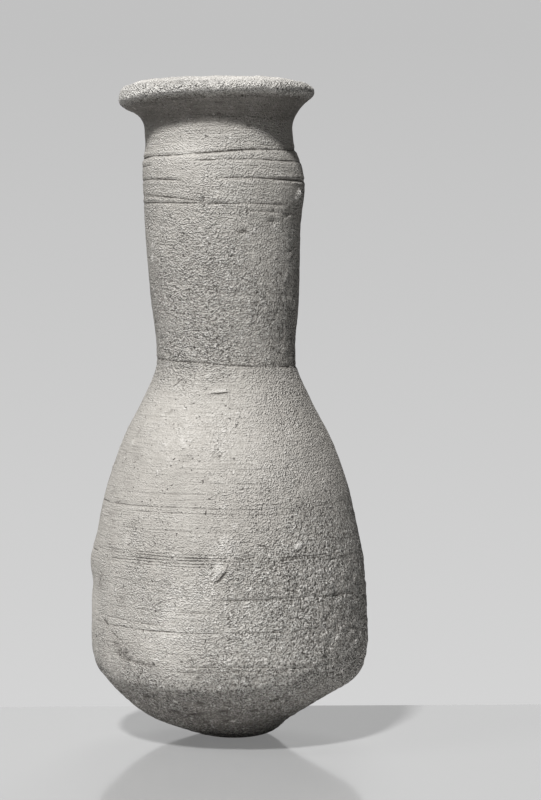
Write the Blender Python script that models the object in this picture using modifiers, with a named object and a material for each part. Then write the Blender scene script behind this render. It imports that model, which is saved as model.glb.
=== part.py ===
"""A small wheel-thrown pottery vase: a baggy body on a rounded base, a tall neck and a flared lip.

It is one hollow fired piece, so it is one solid. It is turned as a wall section, then moved by hand as the
real one is: the neck leans left, the lip is tilted, and the neck swells on its right side.
X runs to the right, Y away from the viewer and Z up. The table is at Z = 0.
"""

import math

import bpy

MM = 0.001

# Heights of the outside, from the table up.
KEEL_HEIGHT = 8.3 * MM
KEEL_TO_BELLY = 6.1 * MM
BELLY_TO_NECK = 37.5 * MM
NECK_LENGTH = 32.7 * MM
FLARE_HEIGHT = 3.5 * MM
LIP_CHIN = 0.85 * MM
LIP_CROWN = 1.65 * MM
LIP_TOP_RISE = 0.7 * MM

# Radii of the outside.
FOOT_RADIUS = 3.5 * MM
KEEL_RADIUS = 17.5 * MM
BELLY_RADIUS = 19.35 * MM
NECK_ROOT_RADIUS = 9.7 * MM
NECK_FULL_RADIUS = 10.8 * MM
NECK_TOP_RADIUS = 10.2 * MM
LIP_RADIUS = 13.5 * MM
LIP_ROUNDING = 1.4 * MM

# The mouth, its rounded edge, how far down its funnel reaches, and the thickness of the clay.
MOUTH_RADIUS = 8.6 * MM
MOUTH_ROUNDING = 0.5 * MM
MOUTH_DEPTH = 7.0 * MM
NECK_WALL = 3.0 * MM
BODY_WALL = 3.4 * MM
FLOOR_THICKNESS = 5.5 * MM

# How far the real vase is from a true turned one.
LEAN = 1.9 * MM
LEAN_POWER = 2.7
SHOULDER_SHIFT = 0.22 * MM
FOOT_SHIFT = 0.6 * MM
UNDERSIDE_SAG = 1.15 * MM
LIP_TILT = math.radians(2.3)
TOP_TILT = math.radians(0.7)
LIP_UNDERSIDE_TILT = math.radians(2.5)
NECK_SWELL = 0.85 * MM
NECK_SWELL_BELOW_TOP = 14.2 * MM
NECK_SWELL_REACH = 4.2 * MM
NECK_SWELL_ANGLE = math.radians(55)

# Where the lip's rounding begins, as a turn below its widest level.
LIP_START = math.radians(-60)

# The underside rises from the foot as this power of the way out.
UNDERSIDE_POWER = 1.4

# The shoulder from the neck's root down to the belly: share of the drop, share of the spread.
SHOULDER = (
    (0.0, 0.0),
    (0.04, 0.05),
    (0.13, 0.22),
    (0.265, 0.49),
    (0.36, 0.63),
    (0.49, 0.78),
    (0.62, 0.885),
    (0.76, 0.97),
    (1.0, 1.0),
)

# The deepest of the lines that turning left: a share of the way up the body, and of the way up the neck.
GROOVE_WIDTH = 1.1 * MM
GROOVE_DEPTH = 0.3 * MM
BODY_GROOVES = (0.065, 0.19, 0.33)
NECK_GROOVES = (0.0, 0.77, 0.885)

# How finely each stretch of the section is divided.
AROUND = 52
UNDERSIDE_RINGS = 7
KEEL_RINGS = 5
SHOULDER_RINGS = 12
NECK_RINGS = 10
FLARE_RINGS = 4
LIP_RINGS = 7
TOP_RINGS = 2
MOUTH_EDGE_RINGS = 2
MOUTH_RINGS = 4
BORE_RINGS = 6
INNER_SHOULDER_RINGS = 8
BOWL_RINGS = 7
MERGE = 0.00001

BELLY_HEIGHT = KEEL_HEIGHT + KEEL_TO_BELLY
NECK_ROOT_HEIGHT = BELLY_HEIGHT + BELLY_TO_NECK
NECK_TOP_HEIGHT = NECK_ROOT_HEIGHT + NECK_LENGTH
LIP_WIDEST_HEIGHT = NECK_TOP_HEIGHT + FLARE_HEIGHT + LIP_CHIN
TOP_HEIGHT = LIP_WIDEST_HEIGHT + LIP_CROWN + LIP_TOP_RISE


def shares(count):
    """Even steps from just above 0 up to 1."""
    return [(step + 1) / count for step in range(count)]


def smooth(share):
    """Eases a share of 0 to 1 in and out."""
    share = min(1.0, max(0.0, share))
    return share * share * (3 - 2 * share)


def through(points, x):
    """The height at x of a smooth curve through points, whose x values rise."""
    last = len(points) - 2
    span = next((i for i in range(last + 1) if x <= points[i + 1][0]), last)
    (x0, y0), (x1, y1) = points[span], points[span + 1]
    width = x1 - x0

    def slope_at(i):
        """The slope at a point, as the harmonic mean of its two sides, so the curve never overshoots."""
        if i == 0 or i == last + 1:
            near = 0 if i == 0 else last
            return (points[near + 1][1] - points[near][1]) / (points[near + 1][0] - points[near][0])
        before = (points[i][1] - points[i - 1][1]) / (points[i][0] - points[i - 1][0])
        after = (points[i + 1][1] - points[i][1]) / (points[i + 1][0] - points[i][0])
        return 2 * before * after / (before + after) if before * after > 0 else 0.0

    t = (x - x0) / width
    bend = t * t * (3 - 2 * t)
    start = t * (1 - t) * (1 - t) * width * slope_at(span)
    end = t * t * (t - 1) * width * slope_at(span + 1)
    return y0 + (y1 - y0) * bend + start + end


def shoulder_radius(drop):
    """The body's outer radius at a share of the drop from the neck's root to the belly."""
    return NECK_ROOT_RADIUS + (BELLY_RADIUS - NECK_ROOT_RADIUS) * through(SHOULDER, drop)


def neck_radius(rise):
    """The neck's outer radius at a share of its length: narrow at the root, fullest three quarters up."""
    middle = (NECK_ROOT_RADIUS + NECK_FULL_RADIUS) / 2
    curve = (
        (0.0, NECK_ROOT_RADIUS),
        (0.08, NECK_ROOT_RADIUS),
        (0.27, middle),
        (0.57, 0.15 * middle + 0.85 * NECK_FULL_RADIUS),
        (0.74, NECK_FULL_RADIUS),
        (0.84, 0.9 * NECK_FULL_RADIUS + 0.1 * NECK_TOP_RADIUS),
        (0.94, NECK_TOP_RADIUS),
        (1.0, NECK_TOP_RADIUS),
    )
    return through(curve, rise)


def outside():
    """The outer wall as (radius, height), from the middle of the foot up to where the lip's edge begins."""
    line = [(0.0, 0.0), (FOOT_RADIUS, 0.0)]
    for share in shares(UNDERSIDE_RINGS):
        radius = FOOT_RADIUS + (KEEL_RADIUS - FOOT_RADIUS) * share
        line.append((radius, KEEL_HEIGHT * share**UNDERSIDE_POWER))
    for share in shares(KEEL_RINGS):
        turn = share * math.pi / 2
        radius = KEEL_RADIUS + (BELLY_RADIUS - KEEL_RADIUS) * math.sin(turn)
        line.append((radius, KEEL_HEIGHT + KEEL_TO_BELLY * (1 - math.cos(turn))))
    for share in shares(SHOULDER_RINGS):
        line.append((shoulder_radius(1 - share), BELLY_HEIGHT + BELLY_TO_NECK * share))
    for share in shares(NECK_RINGS):
        line.append((neck_radius(share), NECK_ROOT_HEIGHT + NECK_LENGTH * share))
    flare_radius, flare_top = lip_point(LIP_START)
    for share in shares(FLARE_RINGS):
        radius = NECK_TOP_RADIUS + (flare_radius - NECK_TOP_RADIUS) * share**2
        line.append((radius, NECK_TOP_HEIGHT + (flare_top - NECK_TOP_HEIGHT) * share))
    return grooved(line)


def radius_on(line, height):
    """The radius at a height on a line that rises, between the two points that the height falls between."""
    above = next(i for i, point in enumerate(line) if point[1] > height)
    (low_radius, low), (high_radius, high) = line[above - 1], line[above]
    return low_radius + (high_radius - low_radius) * (height - low) / (high - low)


def grooved(line):
    """The outer wall with the turning grooves cut in, each a shallow V."""
    body = [BELLY_HEIGHT + BELLY_TO_NECK * share for share in BODY_GROOVES]
    neck = [NECK_ROOT_HEIGHT + NECK_LENGTH * share for share in NECK_GROOVES]
    for middle in body + neck:
        low, high = middle - GROOVE_WIDTH / 2, middle + GROOVE_WIDTH / 2
        groove = [
            (radius_on(line, low), low),
            (radius_on(line, middle) - GROOVE_DEPTH, middle),
            (radius_on(line, high), high),
        ]
        below = [point for point in line if point[1] < low - GROOVE_WIDTH / 4]
        above = [point for point in line if point[1] > high + GROOVE_WIDTH / 4]
        line = below + groove + above
    return line


def lip_point(turn):
    """A point of the lip's rounded edge, at a turn from its widest level up to where its top begins."""
    radius = LIP_RADIUS - LIP_ROUNDING * (1 - math.cos(turn))
    reach = LIP_CROWN if turn > 0 else LIP_CHIN
    return radius, LIP_WIDEST_HEIGHT + reach * math.sin(turn)


def lip():
    """The lip, from the end of the flare round its edge and up its sloping top to the mouth's edge."""
    line = [lip_point(LIP_START + (math.pi / 2 - LIP_START) * share) for share in shares(LIP_RINGS)]
    edge_radius, edge_height = line[-1]
    for share in shares(TOP_RINGS):
        radius = edge_radius + (MOUTH_RADIUS + MOUTH_ROUNDING - edge_radius) * share
        line.append((radius, edge_height + LIP_TOP_RISE * math.sin(share * math.pi / 2)))
    for share in shares(MOUTH_EDGE_RINGS):
        turn = share * math.pi / 2
        radius = MOUTH_RADIUS + MOUTH_ROUNDING * (1 - math.sin(turn))
        line.append((radius, TOP_HEIGHT - MOUTH_ROUNDING * (1 - math.cos(turn))))
    return line


def wall_at(height):
    """How thick the clay is, measured level, thinner in the neck than in the body."""
    share = smooth((height - BELLY_HEIGHT) / (NECK_ROOT_HEIGHT - BELLY_HEIGHT))
    return BODY_WALL + (NECK_WALL - BODY_WALL) * share


def inside():
    """The inner wall as (radius, height), from the mouth's edge down to the middle of the floor."""
    mouth_foot = TOP_HEIGHT - MOUTH_DEPTH
    funnel = MOUTH_DEPTH - MOUTH_ROUNDING
    bore = neck_radius((mouth_foot - NECK_ROOT_HEIGHT) / NECK_LENGTH) - NECK_WALL
    line = []
    for share in shares(MOUTH_RINGS):
        turn = share * math.pi / 2
        radius = bore + (MOUTH_RADIUS - bore) * (1 - math.sin(turn))
        line.append((radius, mouth_foot + funnel * math.cos(turn)))
    for share in shares(BORE_RINGS):
        height = mouth_foot + (NECK_ROOT_HEIGHT - mouth_foot) * share
        line.append((neck_radius((height - NECK_ROOT_HEIGHT) / NECK_LENGTH) - NECK_WALL, height))
    for share in shares(INNER_SHOULDER_RINGS):
        height = NECK_ROOT_HEIGHT - BELLY_TO_NECK * share
        line.append((shoulder_radius(share) - wall_at(height), height))
    bowl_radius = line[-1][0]
    for share in shares(BOWL_RINGS):
        turn = share * math.pi / 2
        height = BELLY_HEIGHT - (BELLY_HEIGHT - FLOOR_THICKNESS) * math.sin(turn)
        line.append((bowl_radius * math.cos(turn) if share < 1 else 0.0, height))
    return line


def turned(name, section):
    """A mesh object of the section turned once round Z."""
    profile = bpy.data.meshes.new(name + "_section")
    points = [(radius, 0.0, height) for radius, height in section]
    profile.from_pydata(points, [(i, i + 1) for i in range(len(points) - 1)], [])
    guide = bpy.data.objects.new(name + "_section", profile)
    bpy.context.scene.collection.objects.link(guide)
    screw = guide.modifiers.new("turn", "SCREW")
    screw.steps = AROUND
    screw.render_steps = AROUND
    screw.use_merge_vertices = True
    screw.merge_threshold = MERGE
    screw.use_smooth_shade = True
    graph = bpy.context.evaluated_depsgraph_get()
    mesh = bpy.data.meshes.new_from_object(guide.evaluated_get(graph))
    mesh.name = name
    bpy.data.objects.remove(guide)
    return bpy.data.objects.new(name, mesh)


def neck_swell(around, z):
    """How far the neck bulges at its right, below the lip."""
    turn = around / NECK_SWELL_ANGLE
    rise = (z - (TOP_HEIGHT - NECK_SWELL_BELOW_TOP)) / NECK_SWELL_REACH
    return NECK_SWELL * math.exp(-(turn**2) - rise**2)


def shift(z):
    """How far the level at height z stands to the right. The foot does, and the other levels stand to the left."""
    sag_height = 0.35 * KEEL_HEIGHT
    above_foot = smooth(z / sag_height)
    above_sag = smooth((z - sag_height) / (0.9 * KEEL_HEIGHT))
    foot = FOOT_SHIFT * (1 - above_foot)
    sag = UNDERSIDE_SAG * above_foot * (1 - above_sag)
    up_shoulder = min(1.0, max(0.0, (z - BELLY_HEIGHT) / BELLY_TO_NECK))
    shoulder = SHOULDER_SHIFT * math.sin(math.pi * up_shoulder) ** 2
    lean = LEAN * (max(z, 0.0) / TOP_HEIGHT) ** LEAN_POWER
    return foot - sag - shoulder - lean


def tilt(z):
    """The slopes of the level at height z, rising to the right and to the front: none in the neck."""
    at_lip = smooth((z - NECK_TOP_HEIGHT) / (LIP_WIDEST_HEIGHT - NECK_TOP_HEIGHT))
    at_top = smooth((z - LIP_WIDEST_HEIGHT) / LIP_CROWN)
    to_right = math.tan(LIP_TILT + (TOP_TILT - LIP_TILT) * at_top)
    to_front = math.tan(LIP_UNDERSIDE_TILT) * (1 - at_top)
    return at_lip * to_right, at_lip * to_front


def hand_shaped(x, y, z):
    """Where a point of the true turned form stands on the real, uneven vase."""
    around = math.atan2(y, x)
    reach = math.hypot(x, y) + neck_swell(around, z)
    to_right, to_front = tilt(z)
    return reach * math.cos(around) + shift(z), reach * math.sin(around), z + to_right * x - to_front * y


def fired_clay():
    """Bare sandy pottery: pale greyish buff, dull all over."""
    clay = bpy.data.materials.new("clay")
    clay.use_nodes = True
    shader = clay.node_tree.nodes["Principled BSDF"]
    shader.inputs["Base Color"].default_value = (0.36, 0.34, 0.31, 1.0)
    shader.inputs["Roughness"].default_value = 0.92
    shader.inputs["Metallic"].default_value = 0.0
    return clay


def main():
    for old in list(bpy.data.objects):
        bpy.data.objects.remove(old)
    parts = bpy.data.collections.new("vase")
    bpy.context.scene.collection.children.link(parts)

    section = outside() + lip() + inside()
    vase = turned("vase", section[::-1])
    for vertex in vase.data.vertices:
        vertex.co = hand_shaped(*vertex.co)
    vase.data.materials.append(fired_clay())
    vase.data.shade_smooth()
    parts.objects.link(vase)


main()
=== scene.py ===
"""The looks of a small wheel-thrown pottery vase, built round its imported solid.

The skin is one closed mesh on the solid's own section, fine enough for the lines that turning left and for
the grit, pits, flakes and lumps of the clay. Lengths are metres unless a comment says mm. X runs right, Y
away from the viewer and Z up. A place on the vase is a turn, in degrees to the right of the front, and a
height above the table.
"""

import math
from collections import namedtuple

import bpy
import numpy as np
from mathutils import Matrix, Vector, noise


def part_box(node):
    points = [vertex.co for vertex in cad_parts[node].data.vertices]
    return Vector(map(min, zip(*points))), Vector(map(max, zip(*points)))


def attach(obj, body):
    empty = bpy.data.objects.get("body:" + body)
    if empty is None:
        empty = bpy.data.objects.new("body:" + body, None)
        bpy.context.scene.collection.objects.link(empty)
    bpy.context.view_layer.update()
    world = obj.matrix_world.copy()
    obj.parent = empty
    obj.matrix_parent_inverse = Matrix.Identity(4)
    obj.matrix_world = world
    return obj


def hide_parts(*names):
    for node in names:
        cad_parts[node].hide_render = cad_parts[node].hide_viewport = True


MM = 0.001

# The section of the solid, from the table up.
KEEL_HEIGHT = 8.3 * MM
KEEL_TO_BELLY = 6.1 * MM
BELLY_TO_NECK = 37.5 * MM
NECK_LENGTH = 32.7 * MM
FLARE_HEIGHT = 3.5 * MM
LIP_CHIN = 0.85 * MM
LIP_CROWN = 1.65 * MM
LIP_TOP_RISE = 0.7 * MM
FOOT_RADIUS = 3.5 * MM
KEEL_RADIUS = 17.5 * MM
BELLY_RADIUS = 19.35 * MM
NECK_ROOT_RADIUS = 9.7 * MM
NECK_FULL_RADIUS = 10.8 * MM
NECK_TOP_RADIUS = 10.2 * MM
LIP_RADIUS = 13.5 * MM
LIP_ROUNDING = 1.4 * MM
MOUTH_RADIUS = 8.6 * MM
MOUTH_ROUNDING = 0.5 * MM
MOUTH_DEPTH = 7.0 * MM
NECK_WALL = 3.0 * MM
BODY_WALL = 3.4 * MM
FLOOR_THICKNESS = 5.5 * MM
LIP_START = math.radians(-60)
UNDERSIDE_POWER = 1.4
SHOULDER = (
    (0.0, 0.0), (0.04, 0.05), (0.13, 0.22), (0.265, 0.49), (0.36, 0.63), (0.49, 0.78),
    (0.62, 0.885), (0.76, 0.97), (1.0, 1.0),
)

# How far the vase is from a true turned one.
LEAN = 1.9 * MM
LEAN_POWER = 2.7
SHOULDER_SHIFT = 0.22 * MM
FOOT_SHIFT = 0.6 * MM
UNDERSIDE_SAG = 1.15 * MM
LIP_TILT = math.radians(2.3)
TOP_TILT = math.radians(0.7)
LIP_UNDERSIDE_TILT = math.radians(2.5)
NECK_SWELL = 0.85 * MM
NECK_SWELL_BELOW_TOP = 14.2 * MM
NECK_SWELL_REACH = 4.2 * MM
NECK_SWELL_ANGLE = math.radians(55)

BELLY_HEIGHT = KEEL_HEIGHT + KEEL_TO_BELLY
SAG_HEIGHT = 0.35 * KEEL_HEIGHT
SAG_FADE = 0.9 * KEEL_HEIGHT
NECK_ROOT_HEIGHT = BELLY_HEIGHT + BELLY_TO_NECK
NECK_TOP_HEIGHT = NECK_ROOT_HEIGHT + NECK_LENGTH
LIP_WIDEST_HEIGHT = NECK_TOP_HEIGHT + FLARE_HEIGHT + LIP_CHIN
TOP_HEIGHT = LIP_WIDEST_HEIGHT + LIP_CROWN + LIP_TOP_RISE

# The grid of the skin: points round it and how far they crowd to the front, and the steps between its rings.
AROUND = 215
FRONT_CROWDING = 0.4
STRETCH_POINTS = 400
UNDERSIDE_STEP = 0.30 * MM
KEEL_STEP = 0.27 * MM
SHOULDER_STEP = 0.30 * MM
NECK_STEP = 0.23 * MM
FLARE_STEP = 0.24 * MM
LIP_STEP = 0.20 * MM
TOP_STEP = 0.26 * MM
MOUTH_STEP = 0.50 * MM
KEEL_EASING_RINGS = 9
KEEL_EASING_REACH = 2.5 * MM
BORE_STEP = 3.5 * MM
BOWL_STEP = 4.0 * MM

# A line scored in the clay: the turns where it starts and ends, its height at the front, how much it climbs
# in a turn of 90 degrees to the right, and how deep and wide it is. Here and in the marks, lengths are mm.
Line = namedtuple("Line", "start end height climb depth width")
LINES = (
    Line(-180, 180, 81, 0.6, 0.17, 0.22),
    Line(-24, 180, 79.9, 0.1, 0.12, 0.2),
    Line(-100, -55, 79.6, 0.4, 0.1, 0.18),
    Line(30, 100, 81.9, 0, 0.08, 0.18),
    Line(-180, -25, 77.1, -0.3, 0.17, 0.2),
    Line(-5, 150, 77.5, 0, 0.15, 0.2),
    Line(-110, -8, 74.1, -1.3, 0.08, 0.18),
    Line(-110, -25, 74.5, -0.6, 0.07, 0.16),
    Line(-180, 60, 74.1, -0.1, 0.13, 0.2),
    Line(5, 75, 73.4, -0.7, 0.08, 0.22),
    Line(-15, 40, 62, -1.4, 0.05, 0.35),
    Line(-180, 180, 52.2, -0.5, 0.12, 0.22),
    Line(-85, 80, 33.3, 0, 0.07, 0.24),
    Line(-50, 75, 32.6, 0, 0.06, 0.18),
    Line(-30, 60, 38.4, 0.2, 0.04, 0.16),
    Line(-20, 70, 36.6, -0.1, 0.04, 0.16),
    Line(-65, 15, 35.1, 0.1, 0.04, 0.16),
    Line(-62, 20, 30.3, 0, 0.04, 0.16),
    Line(-55, 40, 23.4, 0.1, 0.04, 0.16),
    Line(-60, 5, 19.6, 0, 0.05, 0.18),
    Line(-180, -60, 32.9, -0.4, 0.06, 0.24),
    Line(-34, -12, 28.2, 0.1, 0.09, 0.18),
    Line(4, 16, 29, 0, 0.08, 0.18),
    Line(-70, 60, 27.2, 0, 0.07, 0.2),
    Line(-75, 62, 26.8, -0.1, 0.12, 0.18),
    Line(95, 290, 26.6, 0.2, 0.12, 0.22),
    Line(-55, 50, 26.4, 0, 0.11, 0.16),
    Line(-60, 58, 26, 0, 0.11, 0.18),
    Line(-50, 35, 25.6, 0, 0.06, 0.16),
    Line(-8, 66, 21.3, -0.1, 0.14, 0.2),
    Line(-75, 60, 16.9, 0, 0.13, 0.2),
    Line(-70, -25, 17.1, -1.1, 0.09, 0.26),
    Line(-15, 40, 16.1, 0, 0.1, 0.18),
    Line(-20, 24, 12.3, 0, 0.12, 0.2),
    Line(-30, 50, 11.7, 0.4, 0.1, 0.2),
    Line(-52, -24, 11.2, -1.9, 0.1, 0.28),
    Line(-180, -90, 21.6, 0.2, 0.08, 0.24),
    Line(-180, -80, 16.4, 0.2, 0.09, 0.24),
    Line(100, 180, 12.4, 0, 0.1, 0.24),
)

# The mesh carries this share of a line's depth, and the clay's shader cuts its sharp core and paints it
# darker, as painted shade in the groove. A point knows one line of each layer, as far as the reach, so lines
# of one layer must not lie close together.
LINE_DEPTH_SHARE = 0.9
LINE_LAYERS = 3
LINE_REACH = 0.45 * MM
LINE_CORE = 0.6
LINE_CUT = 2.5
LINE_PAINTED_SHADE = 4.2
LINE_FADE_SHARE = 0.55
LINE_END_FADE = 9
CORE_BURR = 0.5

# How a line wanders, how its strength varies along it, and the burrs thrown up beside it, in its own widths.
LINE_WANDER = 0.22 * MM
LINE_WANDER_SIZE = 9 * MM
LINE_STRENGTH = 0.95
LINE_STRENGTH_SWING = 1.1
LINE_STRENGTH_SIZE = 3.2 * MM
LINE_STRENGTH_LIMITS = (0.4, 1.6)
BURR_SHARE = 0.3
BURR_AWAY = 1.9

# A single mark: its place, how it lies (degrees up to the right), its half length and half width, how far it
# stands out of the clay (or into it), and how much paler or darker it is. Where a mark sinks into the clay,
# its darker tone is painted shade in the hollow.
Mark = namedtuple("Mark", "turn height lie length width relief tone", defaults=(0.0, 0.0))
MARKS = (
    # a white lump, painted paler still as painted light where it catches the lamp
    Mark(69, 75.6, 70, 0.55, 0.36, 0.42, 2.0),
    Mark(66, 74.9, 20, 0.45, 0.2, 0.2, 1.2),
    Mark(-66, 66.7, 80, 0.6, 0.36, 0.1, 1.5),
    Mark(-64, 68.2, 80, 0.6, 0.25, 0.06, 0.7),
    Mark(-2, 75.7, 0, 0.22, 0.22, 0.06, 0.8),
    # no mark but a pale band down the front of the neck: painted light where the lamp falls most fully
    Mark(2, 72, 90, 15, 4, tone=0.14),
    Mark(4, 64.2, 80, 0.6, 0.24, 0.08, 0.7),
    Mark(16, 70.3, 15, 0.6, 0.34, -0.24, -0.9),
    Mark(18, 69.6, -10, 0.6, 0.4, 0.12, 0.4),
    Mark(-39.5, 49.1, 48, 0.7, 0.24, 0.14, 0.5),
    Mark(-4, 48.8, 6, 1.15, 0.24, 0.16, 0.6),
    Mark(-13, 50.9, 60, 0.45, 0.22, 0.14, 0.6),
    Mark(-62, 41.5, 60, 0.5, 0.32, 0.16, 0.7),
    Mark(-60, 43, 80, 0.5, 0.25, -0.12, -0.3),
    Mark(-43, 45.6, 0, 0.24, 0.22, 0.1, 0.6),
    Mark(-38, 45.8, 30, 0.45, 0.28, -0.14, -0.5),
    Mark(-33, 41.7, 10, 0.4, 0.22, 0.12, 0.5),
    Mark(0, 43.7, 15, 0.7, 0.24, 0.12, 0.5),
    Mark(46, 44, 0, 0.34, 0.28, 0.14, 0.6),
    Mark(69, 42.3, 0, 0.34, 0.28, 0.16, 0.7),
    Mark(-4, 40.3, 20, 0.7, 0.5, -0.1, -0.3),
    Mark(32, 28.2, 30, 0.68, 0.38, 0.34, 2.0),
    Mark(-1, 28.6, 80, 1.1, 0.45, 0.12, 0.3),
    Mark(1, 27.6, 80, 0.4, 0.32, 0.14, 0.6),
    Mark(-3.5, 24.9, 48, 0.85, 0.3, 0.18, 0.5),
    Mark(-2, 25.8, 70, 0.55, 0.4, 0.1, 0.4),
    Mark(4, 31.2, 30, 0.4, 0.3, 0.12, 0.8),
    Mark(10, 22.8, 40, 0.4, 0.3, 0.12, 0.8),
    Mark(47, 22.6, 0, 0.3, 0.28, 0.14, 0.9),
    Mark(-47, 13.2, 5, 1, 0.62, -0.24, -0.55),
    Mark(-52, 14.4, -20, 0.9, 0.4, -0.16, -0.6),
    Mark(-44, 12.6, 40, 0.6, 0.3, -0.16, -0.7),
    Mark(-50, 12.4, 10, 0.5, 0.3, 0.12, 0.5),
    Mark(-60, 17.3, -10, 0.95, 0.3, -0.14, -0.3),
    Mark(-38, 12.2, -25, 1, 0.3, -0.12, -0.2),
    Mark(41, 13.8, 75, 1.1, 0.22, 0.3, 0.25),
    Mark(45, 13.9, 78, 1.2, 0.24, -0.22, -0.3),
    Mark(16, 9.6, 0, 0.24, 0.22, 0.2, 1.2),
    Mark(5, 3.9, 0, 0.5, 0.35, -0.3, -2.4),
    Mark(8.5, 3.9, 0, 0.34, 0.3, 0.22, 2.6),
    Mark(-9, 3.8, 0, 0.42, 0.26, -0.24, -2.2),
    Mark(1, 5.6, 5, 0.8, 0.24, -0.2, -1.8),
    Mark(11, 7.7, 0, 0.32, 0.3, 0.16, 2.2),
    Mark(30, 8.3, 0, 0.28, 0.26, 0.14, 1.8),
    Mark(-55, 5.9, 0, 0.34, 0.3, 0.18, 2.4),
    Mark(-25, 7.1, 0, 0.32, 0.28, 0.14, 2.2),
    Mark(-30, 8.3, 0, 0.3, 0.26, 0.12, 2.0),
    Mark(-41, 7.2, 10, 0.6, 0.3, -0.18, -1.4),
    Mark(-46, 7, 0, 0.32, 0.28, 0.14, 1.8),
    Mark(-12, 7, -10, 0.6, 0.3, -0.16, -1.2),
    Mark(24, 7.4, 20, 0.5, 0.3, -0.18, -1.3),
    Mark(18, 5.6, 15, 0.8, 0.28, -0.16, -1.8),
    Mark(-28, 5.2, -15, 1, 0.28, -0.16, -1.8),
    Mark(-16, 4.9, 5, 0.9, 0.28, -0.16, -1.6),
    Mark(-5, 6.6, 0, 0.3, 0.28, 0.14, 1.6),
    Mark(-52, 4.4, -25, 1.6, 0.3, 0.25, 0.1),
    Mark(-38, 3.5, -25, 1.5, 0.3, 0.24, 0.1),
    Mark(-33, 2.4, -30, 1.3, 0.35, 0.22),
)

# Thin cracks, placed like the marks, and rings left by burst grains.
Crack = namedtuple("Crack", "turn height lie length width depth")
CRACKS = (
    Crack(-39.5, 49.6, 48, 0.85, 0.14, 0.2),
    Crack(-34, 50.2, -20, 0.5, 0.12, 0.12),
    Crack(-4, 48.4, 6, 1.45, 0.13, 0.22),
    Crack(7, 44.3, 55, 0.45, 0.12, 0.18),
    Crack(32, 27.5, 20, 0.7, 0.14, 0.2),
    Crack(16, 28.3, -25, 0.75, 0.13, 0.24),
    Crack(-2, 24.3, 48, 1.2, 0.16, 0.46),
    Crack(-28, 20.6, 30, 0.9, 0.12, 0.12),
    Crack(-52, 15.6, -28, 1.3, 0.13, 0.16),
    Crack(-60, 17, -20, 1.1, 0.13, 0.18),
    Crack(12, 11.4, 52, 1.4, 0.13, 0.2),
    Crack(42, 13.8, 75, 1.2, 0.15, 0.22),
    Crack(58, 26, -30, 1, 0.13, 0.18),
    Crack(52, 28.9, -25, 1.2, 0.13, 0.18),
    Crack(-38, 3.3, -25, 1.9, 0.15, 0.2),
    Crack(3, 4.7, 4, 1.3, 0.14, 0.16),
    Crack(150, 40, 35, 1.2, 0.14, 0.2),
    Crack(-140, 24, -40, 1, 0.14, 0.22),
)
# A ring's tone follows its profile: painted light on its raised edge and painted shade in its hollow.
RINGS = (
    Mark(29, 30.7, -30, 0.55, 0.42, 0.26, 0.6),
    Mark(18, 19.6, 0, 0.5, 0.45, 0.18, 0.4),
    Mark(16, 9.6, 0, 0.55, 0.5, 0.2, 0.5),
    Mark(-9, 3.8, 0, 0.68, 0.4, 0.16, 0.6),
    Mark(-120, 33, 0, 0.6, 0.5, 0.14, 0.3),
)

# The edges of the marks: how ragged they are, and how sharp each kind is.
RAGGED_SWING = 0.7
RAGGED_SIZE = 0.8 * MM
RAGGED_LIMITS = (0.2, 2)
MARK_SHARPNESS = 2.8
STAIN_AND_LIGHT_SHARPNESS = 2.2
GRIT_SHARPNESS = 2.6

# How far a crack wavers and reaches to its sides, and how far it runs in its half lengths.
CRACK_WAVER = 0.16 * MM
CRACK_WAVER_SIZE = 0.9 * MM
CRACK_REACH = 0.55 * MM
CRACK_FADE = 0.25 * MM
CRACK_END = 1.3

# The profile of a ring, in shares of its size.
RING_EDGE = 0.38
RING_HOLLOW = 0.7
RING_HOLLOW_REACH = 0.6

# Broad marks without a sharp edge: bulges and dents at the sides and the lip, stains, and one pale patch of
# painted light.
SWELLINGS = (
    Mark(-88, 25, 0, 6.5, 1.9, 0.28),
    Mark(-92, 21.6, 0, 6.5, 1.3, -0.2),
    Mark(-90, 40, 0, 7, 6, -0.12),
    Mark(90, 44, 0, 7, 5, -0.1),
    Mark(88, 7.6, 0, 8, 1.5, 0.25),
    Mark(-85, 8.6, 0, 8, 2, -0.3),
    Mark(-86, 88, 0, 6, 1, 0.4),
    Mark(70, 90.3, 0, 6, 1.2, 0.22),
)
STAINS_AND_PAINTED_LIGHT = (
    Mark(-3, 27, 80, 3.4, 1.1, tone=0.28),
    Mark(-8, 23.2, 50, 3, 1.4, tone=0.22),
    Mark(-22, 21.2, 70, 3, 1.5, tone=0.26),
    Mark(-24, 16.8, 0, 5, 1.6, tone=0.22),
    Mark(-49, 13.6, 10, 3.4, 2, tone=-0.35),
    Mark(-72, 14, 0, 5, 2.6, tone=-0.22),
    Mark(-66, 23, 70, 1.6, 1, tone=-0.35),
    Mark(-48, 20.8, 60, 1.2, 0.8, tone=-0.3),
    Mark(-57, 27, 30, 1.6, 0.8, tone=-0.2),
    Mark(-62, 33, 80, 9, 3.6, tone=-0.22),
    Mark(-33, 12.2, -20, 1.8, 0.8, tone=-0.32),
    # painted light: a broad pale patch low right of the front, where the side turns from the lamp
    Mark(25, 20, 80, 9, 6, tone=0.12),
    Mark(55, 17, 40, 9, 5, tone=-0.22),
    Mark(-25, 44, 0, 7, 6, tone=0.12),
    Mark(10, 40, 0, 6, 5, tone=0.12),
    Mark(0, 9.5, 0, 14, 1.4, tone=0.1),
    Mark(0, 4, 0, 30, 3.2, tone=-0.3),
    Mark(160, 30, 30, 9, 5, tone=0.25),
    Mark(-150, 18, 70, 5, 3, tone=-0.25),
    Mark(130, 62, 80, 4, 2.5, tone=0.22),
)

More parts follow.
